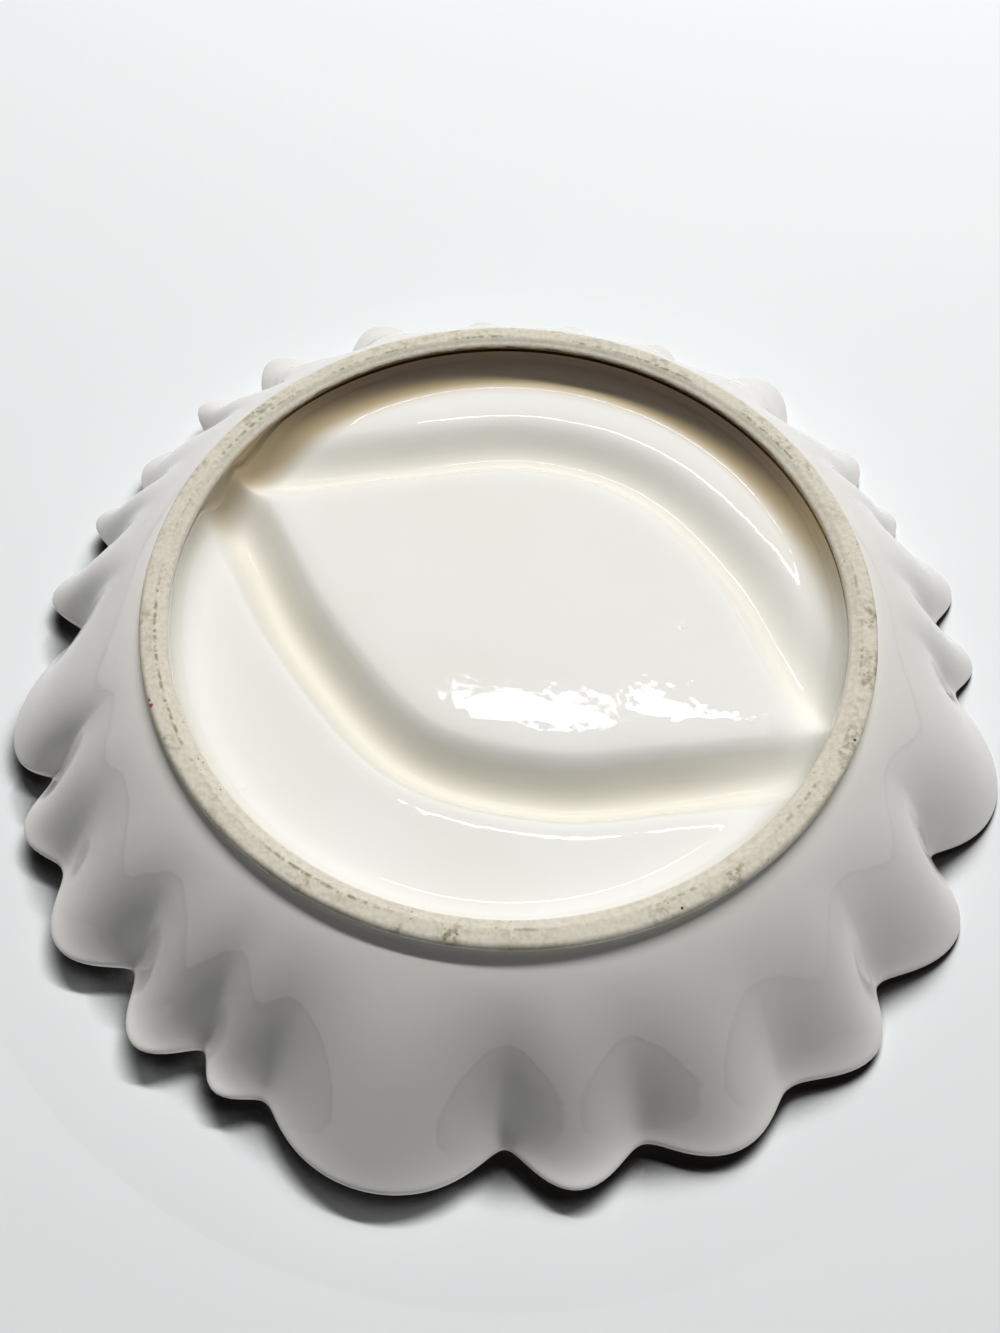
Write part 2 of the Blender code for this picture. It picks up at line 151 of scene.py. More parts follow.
# One row for each lobe, counter-clockwise from the first notch: width in degrees, place of
# the tip across the lobe, tip inset, notch inset before it, and how far the tip sits low
LOBES = (
    (23.5, 0.52, -0.15, 0.80, 0.0),
    (18.0, 0.42, 0.00, 1.35, 0.0),
    (15.5, 0.42, 0.00, 0.85, 0.2),
    (16.5, 0.46, 0.00, 0.30, 0.4),
    (14.5, 0.50, 0.20, 0.60, 0.7),
    (26.0, 0.52, -0.35, 1.00, 0.8),
    (8.5, 0.50, 0.65, 0.55, 0.8),
    (12.5, 0.45, 0.15, 0.85, 0.8),
    (15.5, 0.48, 0.05, 1.10, 0.6),
    (12.0, 0.48, 0.30, 0.60, 0.3),
    (21.5, 0.30, 0.10, 1.00, 0.1),
    (13.0, 0.40, 0.20, 1.50, 0.0),
    (9.5, 0.45, 0.20, 1.10, 0.1),
    (13.0, 0.40, 0.20, 0.90, 0.1),
    (9.5, 0.35, -0.20, 0.90, 0.6),
    (13.5, 0.40, -0.30, 0.90, 0.9),
    (15.5, 0.45, -0.30, 0.90, 0.9),
    (13.0, 0.50, 0.00, 0.90, 0.6),
    (12.5, 0.50, 0.00, 0.90, 0.6),
    (13.0, 0.50, 0.00, 0.90, 0.6),
    (17.5, 0.55, -0.30, 1.10, 0.9),
    (13.0, 0.60, 0.00, 0.90, 0.3),
    (8.5, 0.60, 0.60, 0.90, 0.2),
    (14.0, 0.60, 0.00, 0.70, 0.0),
    (10.5, 0.55, 0.40, 0.80, 0.1),
)

# Camera, in the frame of the dish lying on its rim with the foot up
CAMERA_LENS = 32.41
CAMERA_SENSOR = 36.0
CAMERA_CLIP = 0.01
CAMERA_TILT = math.radians(59.543)
CAMERA_ROLL = math.radians(2.072)
CAMERA_DISTANCE = 270.63 * MM
CAMERA_AIM = (-1.69 * MM, -21.14 * MM)

# Stage: a table at the rim for the photograph's camera below, and a floor at the foot
# for views from above. The table slopes away further out and isn't seen edge-on, and
# the floor fades.
TABLE_HEIGHT = DISH_HEIGHT + 1.0 * MM
TABLE_LEAN = (0.022, 0.0)
TABLE_SLOPE = 0.03
TABLE_INSET = 14.0 * MM
TABLE_REACH = 4.0
TABLE_COLOUR = (0.795, 0.825, 0.85)
EDGE_ON = (0.6, 0.75)
FLOOR_LEVEL = -0.3 * MM
FLOOR_COLOUR = (0.62, 0.62, 0.62)
FLOOR_FADE = (0.45, 1.2)

# Shade on the stage close to the dish: how open a spot is when it starts and ends, and
# the side that the table looks to, right of far and above the table
SHADE_REACH = 14.0 * MM
SHADE_EDGE = RIM_RADIUS + 1.5 * SHADE_REACH
SHADE_COLOUR = (0.02, 0.018, 0.018)
SHADE_SAMPLES = 64
SHADE_RIGHT = math.radians(42.0)
SHADE_ELEVATION = math.radians(38.0)
TABLE_SHADE = (0.72, 0.90)
FLOOR_SHADE = (-0.4, 0.8)

# Light
FILL_COLOUR = (0.97, 0.975, 1.0)
FILL_NEAR = 0.015
FILL_FAR = 0.06
FILL_ABOVE = 0.4
FILL_TURN = (-0.05, 0.25)
BACKGROUND = 0.9
KEY_POWER = 32.5
KEY_COLOUR = (1.0, 0.985, 0.955)
KEY_SIZE = (1.1, 0.1)
KEY_DISTANCE = 1.7
KEY_RIGHT = math.radians(12.0)
KEY_ELEVATION = math.radians(60.0)
UPPER_POWER = 20.0
UPPER_COLOUR = (1.0, 0.98, 0.95)
UPPER_SIZE = (1.2, 1.2)
UPPER_PLACE = (-0.7, -0.8, 1.3)

# Window panes mirrored in the glaze: bearing right of far, elevation, width and height
PANES = (
    (4.0, 62.45, (0.215, 0.044)),
    (23.0, 60.4, (0.17, 0.030)),
)
PANE_RADIANCE = 14.0
PANE_COLOUR = (1.0, 1.0, 1.0)
PANE_DISTANCE = 1.3

# Glaze colours: the floors and the inside; glaze gathered thick, partly painted shade, in the
# hollows; painted shade, tan to dark brown, under the foot ring's inner edge; and the wall's outer
# side, greyed with painted shade
GLAZE_COLOUR = (0.83, 0.83, 0.81)
GLAZE_WARM = (0.815, 0.81, 0.775)
# Glaze gathered thick in the hollows, darkened further with painted shade
GLAZE_POOLED_AND_SHADED = (0.785, 0.76, 0.67)
GLAZE_PIT = (0.55, 0.50, 0.42)
# Painted shade under the foot ring's inner edge: tan, then dark brown
GLAZE_TAN_SHADE = (0.60, 0.475, 0.27)
GLAZE_CREVICE_SHADE = (0.13, 0.065, 0.012)
# Wall's outer side: the floors' glaze greyed with painted shade
SHADED_WALL_COLOUR = (0.725, 0.705, 0.695)
SHADED_WALL_WARM = (0.715, 0.695, 0.675)

# Upward part of the surface's direction over which the outer colours, greyed with painted shade,
# give way to the inside's
INSIDE_SLOPE = (0.1, 0.4)

# Where the glaze gathers, with painted shade in the hollows and the crease under the foot, and
# where painted shade, tan to dark brown, lies under the foot ring's inner edge
POOL_AND_SHADE_REACH = 4.0 * MM
HOLLOW_POOL_AND_SHADE = 0.9
CORNER_POOL_AND_SHADE = 0.6
# Painted shade in the crease under the foot ring's outer side
CREASE_SHADE = 0.5
# Reach, side and ramps of the painted shade under the foot ring's inner edge
CREVICE_SHADE_REACH = 8.5 * MM
CREVICE_SHADE_BEARING = math.radians(97.0)
CREVICE_SHADE_LEAST = 0.2
CREVICE_SHADE_GAIN = 0.8
TAN_SHADE_RANGE = (0.05, 0.55)
DARK_SHADE_RANGE = (0.5, 0.98)

# Noise patterns: scale per metre, detail, and the two values between which they turn on
GLAZE_CLOUDS = (26.0, 3.0, 0.38, 0.68)
GLAZE_GLOSS = (60.0, 4.0, 0.3, 0.75)
CLAY_SOIL = (26.0, 3.0, 0.4, 0.6)
CLAY_BLOTCHES = (140.0, 7.0, 0.46, 0.62)
CLAY_FINE = (620.0, 5.0, 0.4, 0.6)
CLAY_BREAKS = (35.0, 3.0, 0.42, 0.6)

# Dot patterns: scale per metre, radius as a share of a cell, share of cells with a dot
GLAZE_PITS = (95.0, 0.035, 0.10)
GLAZE_PIMPLES = (70.0, 0.10, 0.12)
CLAY_SPECKS = (850.0, 0.26, 0.10)
DOT_CORE = 0.4

# Waves in the glaze: scale per metre, detail and height
GLAZE_WAVES = (
    (42.0, 1.0, 0.045 * MM),
    (115.0, 2.0, 0.075 * MM),
    (300.0, 2.0, 0.014 * MM),
)
PIMPLE_HEIGHT = 0.08 * MM
GLAZE_ROUGHNESS = (0.015, 0.05)

# Bare clay of the foot
BISQUE_PALE = (0.69, 0.655, 0.575)
BISQUE_COLOUR = (0.60, 0.56, 0.465)
BISQUE_STAIN = (0.29, 0.27, 0.175)
BISQUE_SPECK = (0.12, 0.105, 0.08)
BISQUE_ROUGHNESS = (0.62, 0.88)
GRAIN_NOISE = (900.0, 6.0)
GRAIN_RANGE = (0.35, 0.7)
GRAIN_HEIGHT = 0.06 * MM
LUMP_NOISE = (260.0, 4.0)
LUMP_HEIGHT = 0.12 * MM
SMOOTH_EDGE = RECESS_RADIUS + CHAMFER_WIDTH
WORN_WIDTH = 1.0 * MM
WORN_LEAST = 0.25
SOIL_LEAST = 0.25
SPECK_SHARE = 0.8
LINE_REACH = (0.1 * MM, 0.6 * MM)
RIM_STAIN_EDGE = (FOOT_RADIUS - 1.2 * MM, FOOT_RADIUS - 0.2 * MM)
RIM_STAIN_SHARE = 0.45
BAND_HEIGHT = 1.9 * MM
BAND_SOFTNESS = 0.35 * MM
BAND_RAGGED = 1.2 * MM
BAND_NOISE = (220.0, 4.0)

# Marks on the foot: bearing and distance from the middle, radius, colour
FOOT_SPOTS = (
    ((-23.6, 85.5 * MM), 0.9 * MM, (0.30, 0.07, 0.045)),
    ((-22.6, 85.6 * MM), 0.7 * MM, (0.34, 0.09, 0.06)),
    ((-154.5, 84.9 * MM), 0.45 * MM, (0.05, 0.045, 0.04)),
    ((-115.8, 84.7 * MM), 0.45 * MM, (0.05, 0.045, 0.04)),
    ((-89.6, 81.6 * MM), 0.6 * MM, (0.52, 0.46, 0.12)),
)
SPOT_NOISE = (1500.0, 2.0)
SPOT_SOFTNESS = 1.4


def smooth_step(share):
    share = np.clip(share, 0.0, 1.0)
    return share * share * (3.0 - 2.0 * share)


def blend(low, high, share):
    return low + (high - low) * share


def joined(first, second, power):
    """Larger of two heights above zero, with a soft join where they are alike."""
    return (np.maximum(first, 0.0) ** power + np.maximum(second, 0.0) ** power) ** (1.0 / power)


def eased_rise(value, ease):
    """Zero below zero, then the value itself, with a soft corner."""
    bend = (value + ease) ** 2 / (4.0 * ease)
    return np.where(value < -ease, 0.0, np.where(value > ease, value, bend))


def bell(share):
    """Rounded hump: 1 in the middle, 0 with a level edge at 1."""
    return 0.5 + 0.5 * np.cos(math.pi * np.minimum(np.abs(share), 1.0))


def skewed_bell(distance):
    """Hump of a groove, steeper on the front side of its route than on the rear side."""
    half = np.where(distance < GROOVE_SKEW, HALF_GROOVE + GROOVE_SKEW, HALF_GROOVE - GROOVE_SKEW)
    return bell((distance - GROOVE_SKEW) / half)


def on_bearing(bearing, distance):
    return np.stack([np.cos(bearing) * distance, np.sin(bearing) * distance], axis=-1)


def smooth_route(stations):
    """Evenly stepped Catmull-Rom curve through a route's stations."""
    bearings = np.radians([station[0] for station in stations])
    points = on_bearing(bearings, np.array([station[1] for station in stations]))
    path = []
    for index in range(1, len(points) - 2):
        before, start, end, after = points[index - 1:index + 3]
        for t in np.linspace(0.0, 1.0, ROUTE_SAMPLES, endpoint=False):
            cube = (3 * start - before - 3 * end + after) * t ** 3
            square = (2 * before - 5 * start + 4 * end - after) * t ** 2
            path.append(start + ((end - before) * t + square + cube) / 2)
    path.append(points[-2])
    path = np.array(path)
    length = np.concatenate([[0.0], np.cumsum(np.linalg.norm(np.diff(path, axis=0), axis=1))])
    even = np.linspace(0.0, length[-1], int(length[-1] / ROUTE_STEP) + 1)
    return np.stack([np.interp(even, length, path[:, axis]) for axis in range(2)], axis=-1)


def offset_path(path, distance):
    run = np.gradient(path, axis=0)
    run /= np.linalg.norm(run, axis=1)[:, None]
    return path + np.stack([-run[:, 1], run[:, 0]], axis=-1) * distance


def distance_to(path, points):
    """Distance of plan points from a path, positive on its left."""
    start = path[:-1]
    run = np.diff(path, axis=0)
    square = (run ** 2).sum(axis=1)
    result = np.empty(len(points))
    for low in range(0, len(points), POINT_BATCH):
        batch = slice(low, low + POINT_BATCH)
        gap = points[batch, None, :] - start[None]
        along = np.clip((gap * run[None]).sum(axis=2) / square[None], 0.0, 1.0)
        rest = gap - along[..., None] * run[None]
        reach = np.hypot(rest[..., 0], rest[..., 1])
        nearest = reach.argmin(axis=1)
        row = np.arange(len(nearest))
        cross = run[nearest, 0] * gap[row, nearest, 1] - run[nearest, 1] * gap[row, nearest, 0]
        result[batch] = reach[row, nearest] * np.where(cross < 0.0, -1.0, 1.0)
    return result


REAR_PATH = smooth_route(REAR_ROUTE)
FRONT_PATH = smooth_route(FRONT_ROUTE)


def seam_side(points):
    """Distance from the line where the two dividers meet, positive at the rear."""
    return points[:, 1] * math.cos(SEAM_BEARING) - points[:, 0] * math.sin(SEAM_BEARING)


def ridge(points):
    """Height of the dividers above the floor."""
    rear = bell(distance_to(REAR_PATH, points) / HALF_DIVIDER)
    front = bell(distance_to(FRONT_PATH, points) / HALF_DIVIDER)
    radius = np.hypot(points[:, 0], points[:, 1])
    fade = 1.0 - smooth_step((radius - RIDGE_FADE_START) / RIDGE_FADE_LENGTH)
    return DIVIDER_RISE * joined(rear, front, JOIN_POWER) * fade


def groove(points):
    """Depth of the hollows under the dividers."""
    rear = distance_to(REAR_PATH, points)
    front = distance_to(FRONT_PATH, points)
    radius = np.hypot(points[:, 0], points[:, 1])
    past = smooth_step((radius - GROOVE_FADE_START) / GROOVE_FADE_LENGTH)
    fade = blend(1.0, GROOVE_END_SHARE, past)
    hollow = joined(REAR_GROOVE_SHARE * skewed_bell(rear), skewed_bell(front), JOIN_POWER) * fade
    crown = joined(bell(rear / HALF_CROWN), bell(front / HALF_CROWN), JOIN_POWER)
    return GROOVE_DEPTH * hollow + CROWN_DEPTH * crown


def recess_edge(bearing):
    """Height where the recess meets the inner side of the foot ring."""
    return RECESS_DEPTH + groove(on_bearing(bearing, RECESS_RADIUS)) - RECESS_FILLET


def floor_height(points):
    return FLOOR_TOP + ridge(points)


def base_height(points):
    """Underside: pads and grooves in the recess, then a hidden cone above the foot ring."""
    radius = np.hypot(points[:, 0], points[:, 1])
    past = np.clip(radius - (RECESS_RADIUS - RECESS_FILLET), 0.0, RECESS_FILLET)
    fillet = RECESS_FILLET - np.sqrt(RECESS_FILLET ** 2 - past ** 2)
    open_part = RECESS_DEPTH + groove(points) - fillet
    edge = recess_edge(np.arctan2(points[:, 1], points[:, 0]))
    share = np.clip((radius - RECESS_RADIUS) / FOOT_WIDTH, 0.0, 1.0)
    return np.where(radius > RECESS_RADIUS, blend(edge, SLAB_EDGE, share), open_part)


def height_normals(height, points, up):
    """Normals of a height field, facing up or down."""
    slopes = []
    for axis in range(2):
        shift = np.zeros(2)
        shift[axis] = SLOPE_STEP
        slopes.append((height(points + shift) - height(points - shift)) / (2 * SLOPE_STEP))
    normals = np.column_stack([-slopes[0], -slopes[1], np.ones(len(points))]) * up
    return normals / np.linalg.norm(normals, axis=1)[:, None]


def base_normals(points):
    """Normals of the underside, facing down; level where the recess meets the foot ring."""
    radius = np.maximum(np.hypot(points[:, 0], points[:, 1]), MM)
    past = np.clip(radius - (RECESS_RADIUS - RECESS_FILLET), 0.0, RECESS_FILLET) / RECESS_FILLET
    level = np.sqrt(1.0 - past ** 2)
    normals = height_normals(groove, points, -1.0)
    normals *= (level / np.abs(normals[:, 2]))[:, None]
    normals[:, :2] -= points * (past / radius)[:, None]
    return normals / np.linalg.norm(normals, axis=1)[:, None]


def lobe_columns():
    """Bearing of each column of the wall and the values of its flute."""
    rows = []
    notch = FIRST_NOTCH_BEARING
    for index, (width, tip_place, tip_inset, notch_inset, tip_drop) in enumerate(LOBES):
        next_notch = LOBES[(index + 1) % len(LOBES)][3]
        count = 2 * round(width / COLUMN_PITCH / 2)
        for step in range(count):
            share = step / count
            turn = blend(share, 0.5 - 0.5 * math.cos(math.pi * share), COLUMN_EASE)
            across = turn + (tip_place - 0.5) * math.sin(math.pi * turn)
            inset = blend(notch_inset, next_notch, across)
            wideness = max(1.0, width / EVEN_WIDTH)
            fullness = TIP_FULLNESS / wideness ** FULLNESS_EASE
            power = FLARE_POWER / wideness ** FLARE_EASE
            bearing = math.radians(notch + width * across)
            softness = NOTCH_SOFTNESS / wideness
            rows.append((bearing, turn, inset, tip_inset, tip_drop, fullness, softness, power))
        notch += width
    return np.array(rows).T


BEARING, TURN, NOTCH_INSET, TIP_INSET, TIP_DROP, FULLNESS, SOFTNESS, FLARE = lobe_columns()


def flute(share):
    """How far each column is drawn in and sunk at a share of the way up the wall."""
    strength = max(0.0, (share - FLUTE_START) / (1.0 - FLUTE_START)) ** FLUTE_GROWTH
    flare = share ** FLARE
    wave = np.sin(math.pi * TURN)
    low = SOFTNESS ** FULLNESS
    high = np.hypot(1.0, SOFTNESS) ** FULLNESS
    soft = (np.hypot(wave, SOFTNESS) ** FULLNESS - low) / (high - low)
    crest = blend(wave ** 2, soft, strength)
    inset = blend(NOTCH_INSET, TIP_INSET, crest) * FLUTE_DEPTH * strength
    inset -= FLARE_REACH * crest * flare
    inset += HOLLOW_DEPTH * (1.0 - crest) * (strength - share ** FLARE_POWER)
    drop = blend(NOTCH_DROP * strength, TIP_DROP * TIP_DROOP * flare, crest)
    return inset, drop


def wall_curve(share):
    """Point and inward normal on the wall's outer side, 0 at the foot, 1 at the lip."""
    span = WALL_RADIUS - FOOT_RADIUS
    lip = LIP_THICKNESS / 2
    start = np.array([FOOT_RADIUS, FOOT_STAND])
    end = np.array([WALL_RADIUS - lip, DISH_HEIGHT - lip])
    end = end + np.array([math.sin(RIM_SLOPE), -math.cos(RIM_SLOPE)]) * lip
    near = start + np.array([math.cos(FOOT_SLOPE), math.sin(FOOT_SLOPE)]) * span * FOOT_SWEEP
    far = end - np.array([math.cos(RIM_SLOPE), math.sin(RIM_SLOPE)]) * span * RIM_SWEEP
    rest = 1.0 - share
    point = start * rest ** 3 + near * 3 * rest ** 2 * share
    point = point + far * 3 * rest * share ** 2 + end * share ** 3
    run = (near - start) * rest ** 2 + (far - near) * 2 * rest * share + (end - far) * share ** 2
    run = run / np.linalg.norm(run)
    return point, np.array([-run[1], run[0]])


def fluted_row(radius, height, share):
    inset, drop = flute(share)
    plan = on_bearing(BEARING, radius - inset)
    return np.column_stack([plan, height - drop])


def plain_row(radius, height):
    return np.column_stack([on_bearing(BEARING, radius), np.full(len(BEARING), height)])


def crease_rows():
    """Soft corner where the wall leaves the foot ring."""
    start = np.array([FOOT_RADIUS - NECK_INSET, CREASE_START])
    corner = np.array([FOOT_RADIUS - NECK_INSET, FOOT_STAND])
    end, _ = wall_curve(CREASE_SHARE)
    rows = []
    for row in range(CREASE_ROWS):
        t = row / CREASE_ROWS
        radius, height = start * (1 - t) ** 2 + corner * 2 * t * (1 - t) + end * t ** 2
        rows.append(plain_row(radius, height))
    return rows


def outer_rows():
    rows = []
    for row in range(OUTER_ROWS + 1):
        share = blend(CREASE_SHARE, 1.0, row / OUTER_ROWS)
        point, _ = wall_curve(share)
        rows.append(fluted_row(point[0], point[1], share))
    return rows


def lip_rows(outer, inner):
    """Round edge from the last row of the outer side to the first row of the inner side."""
    middle = (outer[-1] + inner[0]) / 2
    half = outer[-1] - middle
    run = outer[-1] - outer[-2]
    run /= np.linalg.norm(run, axis=1)[:, None]
    rows = []
    for turn in np.linspace(0.0, math.pi, LIP_ROWS + 1)[1:-1]:
        rows.append(middle + half * math.cos(turn) + run * LIP_THICKNESS / 2 * math.sin(turn))
    return rows


def inner_curve(share):
    point, normal = wall_curve(share)
    return point + normal * blend(WALL_THICKNESS, LIP_THICKNESS, share)


def inner_start():
    """Share at which the wall's inner side stands over the foot ring's outer side."""
    low, high = INNER_SEARCH
    for _ in range(HALVINGS):
        middle = (low + high) / 2
        if inner_curve(middle)[0] < FOOT_RADIUS:
            low = middle
        else:
            high = middle
    return low


def inner_rows():
    """Inner side from the lip down to the floor, with the ends of the dividers on it."""
    start = inner_start()
    rows = []
    for row in range(INNER_ROWS, -1, -1):
        share = blend(start, 1.0, row / INNER_ROWS)
        radius, height = inner_curve(share)
        place = fluted_row(radius, height, share)
        rise = eased_rise(place[:, 2] - FLOOR_TOP, FLOOR_EASE)
        place[:, 2] = FLOOR_TOP + joined(rise, ridge(place[:, :2]), WALL_JOIN_POWER)
        rows.append(place)
    rows[-1][:, :2] = on_bearing(BEARING, FOOT_RADIUS)
    rows[-1][:, 2] = floor_height(rows[-1][:, :2])
    return rows


def foot_rows():
    """Foot ring from the recess, round its bearing face, to the crease under the wall."""
    edge = recess_edge(BEARING)
    chamfer_top = CHAMFER_HEIGHT + INNER_ROUND
    rows = []
    for share in np.linspace(0.0, 1.0, UNDERCUT_ROWS):
        row = plain_row(RECESS_RADIUS + UNDERCUT * math.sin(math.pi * share), 0.0)
        row[:, 2] = blend(edge, chamfer_top, share)
        rows.append(row)
    inner_land = RECESS_RADIUS + CHAMFER_WIDTH
    for t in INNER_ROUND_SHARES:
        radius = RECESS_RADIUS + INNER_ROUND * t ** 2
        height = chamfer_top * (1 - t) ** 2
        height += CHAMFER_HEIGHT * (2 * t * (1 - t) + CHAMFER_LEFT * t ** 2)
        rows.append(plain_row(radius, height))
    for t in CHAMFER_SHARES:
        radius = blend(RECESS_RADIUS + INNER_ROUND, inner_land, t)
        height = CHAMFER_LEFT * CHAMFER_HEIGHT * (1 - t) ** CHAMFER_POWER
        rows.append(plain_row(radius, height))
    outer_land = FOOT_RADIUS - FOOT_OUTER_ROUND
    for t in LAND_SHARES:
        rows.append(plain_row(blend(inner_land, outer_land, t), 0.0))
    for turn in np.radians(OUTER_ROUND_TURNS):
        radius = outer_land + FOOT_OUTER_ROUND * math.sin(turn)
        rows.append(plain_row(radius, FOOT_OUTER_ROUND * (1.0 - math.cos(turn))))
    for share in NECK_SHARES:
        radius = FOOT_RADIUS - NECK_INSET * share
        rows.append(plain_row(radius, blend(FOOT_OUTER_ROUND, CREASE_START, share)))
    return rows


def grid_normals(grid):
    """Normals of a grid that closes on itself along its columns."""
    along = np.gradient(grid, axis=0)
    around = np.roll(grid, -1, axis=1) - np.roll(grid, 1, axis=1)
    normals = np.cross(around, along)
    return normals / np.linalg.norm(normals, axis=2)[..., None]


def new_piece(name, points, faces, corner_normals, node, finish, tints):
    """Closed piece whose outer faces take the given normals; hidden faces pass None."""
    mesh = bpy.data.meshes.new(name)
    mesh.from_pydata([tuple(point) for point in points], [], faces)
    mesh.shade_smooth()
    loops = []
    for face, corners in zip(faces, corner_normals):
        loops += [(0.0, 0.0, 0.0)] * len(face) if corners is None else corners
    hidden = np.array([corners is None for corners in corner_normals])
    mesh.polygons.foreach_set("use_smooth", ~hidden)
    mesh.normals_split_custom_set(loops)
    for label, values in tints.items():
        tint = mesh.attributes.new(label, "FLOAT", "POINT")
        tint.data.foreach_set("value", np.asarray(values, dtype=np.float32))
    piece = bpy.data.objects.new(name, mesh)
    bpy.context.scene.collection.objects.link(piece)
    mesh.materials.append(finish)
    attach(piece, "root")
    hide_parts(node)


def pooling_and_shade(points):
    """How thick the glaze gathered, with painted shade: most in the hollows under the dividers and
    beside the ring; in the crease under the foot ring's outer side it is painted shade only.
    """
    radius = np.hypot(points[:, 0], points[:, 1])
    corner = bell((radius - RECESS_RADIUS) / POOL_AND_SHADE_REACH)
    outside = radius > RECESS_RADIUS + FOOT_WIDTH / 2
    hollow = np.minimum(groove(points[:, :2]) / GROOVE_DEPTH, 1.0)
    crease = CREASE_SHADE * bell((radius - FOOT_RADIUS) / POOL_AND_SHADE_REACH)
    crease *= points[:, 2] < FLOOR_TOP - DIVIDER_RISE
    return np.where(outside, crease, np.maximum(HOLLOW_POOL_AND_SHADE * hollow, CORNER_POOL_AND_SHADE * corner))


def painted_crevice_shade(points):
    """How much painted shade, tan then dark brown, lies under the foot ring's inner edge, most at
    the rear where the ring's shadow falls.
    """
    radius = np.maximum(np.hypot(points[:, 0], points[:, 1]), MM)
    top = np.clip(1.0 - (RECESS_RADIUS - radius) / CREVICE_SHADE_REACH, 0.0, 1.0)
    outside = radius > RECESS_RADIUS + FOOT_WIDTH / 2
    x, y = on_bearing(CREVICE_SHADE_BEARING, 1.0)
    rear = smooth_step(CREVICE_SHADE_LEAST + CREVICE_SHADE_GAIN * (points[:, 0] * x + points[:, 1] * y) / radius)
    return np.where(outside, 0.0, top * rear)


def grid_piece(name, grid, normals, node, finish):
    """Ring-shaped piece from rows of columns, closed by a hidden band from last row to first."""
    row_count, column_count = grid.shape[:2]
    faces = []
    corners = []
    directions = [[tuple(normal) for normal in row] for row in normals]
    for row in range(row_count):
        ahead = (row + 1) % row_count
        for column in range(column_count):
            beside = (column + 1) % column_count
            spots = ((row, column), (row, beside), (ahead, beside), (ahead, column))
            faces.append([line * column_count + place for line, place in spots])
            shown = ahead != 0
            corners.append([directions[line][place] for line, place in spots] if shown else None)
    points = grid.reshape(-1, 3)
    # tints: pooled glaze with painted shade, and painted shade under the foot ring's inner edge
    tints = {"pool_and_shade": pooling_and_shade(points), "crevice_shade": painted_crevice_shade(points)}
    new_piece(name, points, faces, corners, node, finish, tints)


def strip_points(path, side):
    """Points along a divider, in lines beside its route."""
    points = []
    for distance in np.linspace(-HALF_DIVIDER, HALF_DIVIDER, 2 * STRIP_LINES + 1)[1:-1]:
        points.append(offset_path(path, distance))
    points = np.concatenate(points)
    radius = np.hypot(points[:, 0], points[:, 1])
    keep = (radius < FOOT_RADIUS - STRIP_MARGIN) & (seam_side(points) * side > STRIP_MARGIN / 2)
    from_cove = np.abs(radius - RECESS_RADIUS + RECESS_FILLET / 2)
    keep &= from_cove > (RECESS_FILLET + STRIP_MARGIN) / 2
    return points[keep]


def floor_points():
    """Even points on the floors, clear of the dividers."""
    reach = np.arange(-FOOT_RADIUS, FOOT_RADIUS, FLOOR_STEP)
    points = np.stack(np.meshgrid(reach, reach), axis=-1)
    points[1::2, :, 0] += FLOOR_STEP / 2
    points = points.reshape(-1, 2)
    radius = np.hypot(points[:, 0], points[:, 1])
    inside = radius < RECESS_RADIUS - RECESS_FILLET - STRIP_MARGIN
    clear = HALF_DIVIDER + STRIP_MARGIN
    inside &= np.abs(distance_to(REAR_PATH, points)) > clear
    inside &= np.abs(distance_to(FRONT_PATH, points)) > clear
    return points[inside]


def plan_mesh():
    """Triangles over the plan of the floors and dividers, along all their edges."""
    rings = [FOOT_RADIUS, RECESS_RADIUS]
    for turn in np.radians(RECESS_TURNS):
        rings.append(RECESS_RADIUS - RECESS_FILLET * (1 - math.sin(turn)))
    points = [strip_points(REAR_PATH, 1.0), strip_points(FRONT_PATH, -1.0), floor_points()]
    count = sum(len(group) for group in points)
    edges = []
    for radius in rings:
        points.append(on_bearing(BEARING, radius))
        size = len(BEARING)
        edges += [(count + index, count + (index + 1) % size) for index in range(size)]
        count += size
    lines = []
    for path, side in ((REAR_PATH, 1.0), (FRONT_PATH, -1.0)):
        for distance in (-HALF_DIVIDER, HALF_DIVIDER):
            line = offset_path(path, distance)
            keep = np.hypot(line[:, 0], line[:, 1]) < FOOT_RADIUS + ROUTE_STEP
            keep &= seam_side(line) * side > -ROUTE_STEP
            lines.append(line[keep])
    seam = on_bearing(SEAM_BEARING, 1.0)
    for end in (1.0, -1.0):
        reach = np.linspace(SEAM_START, FOOT_RADIUS + ROUTE_STEP, SEAM_POINTS)
        lines.append(reach[:, None] * seam * end)
    for line in lines:
        points.append(line)
        edges += [(count + index, count + index + 1) for index in range(len(line) - 1)]
        count += len(line)
    spots = [Vector(point) for point in np.concatenate(points) / MM]
    made = delaunay_2d_cdt(spots, edges, [], 0, PLAN_TOLERANCE_MM)
    plan = np.array([tuple(point) for point in made[0]]) * MM
    return plan, np.array(made[2])


def region_of(points):
    """Piece that each plan point belongs to."""
    rear = distance_to(REAR_PATH, points)
    front = distance_to(FRONT_PATH, points)
    behind = seam_side(points) > 0.0
    names = np.full(len(points), "centre_floor", dtype=object)
    names[behind & (rear < -HALF_DIVIDER)] = "rear_floor"
    names[~behind & (front > HALF_DIVIDER)] = "front_floor"
    names[behind & (np.abs(rear) <= HALF_DIVIDER)] = "rear_divider"
    names[~behind & (np.abs(front) <= HALF_DIVIDER)] = "front_divider"
    return names


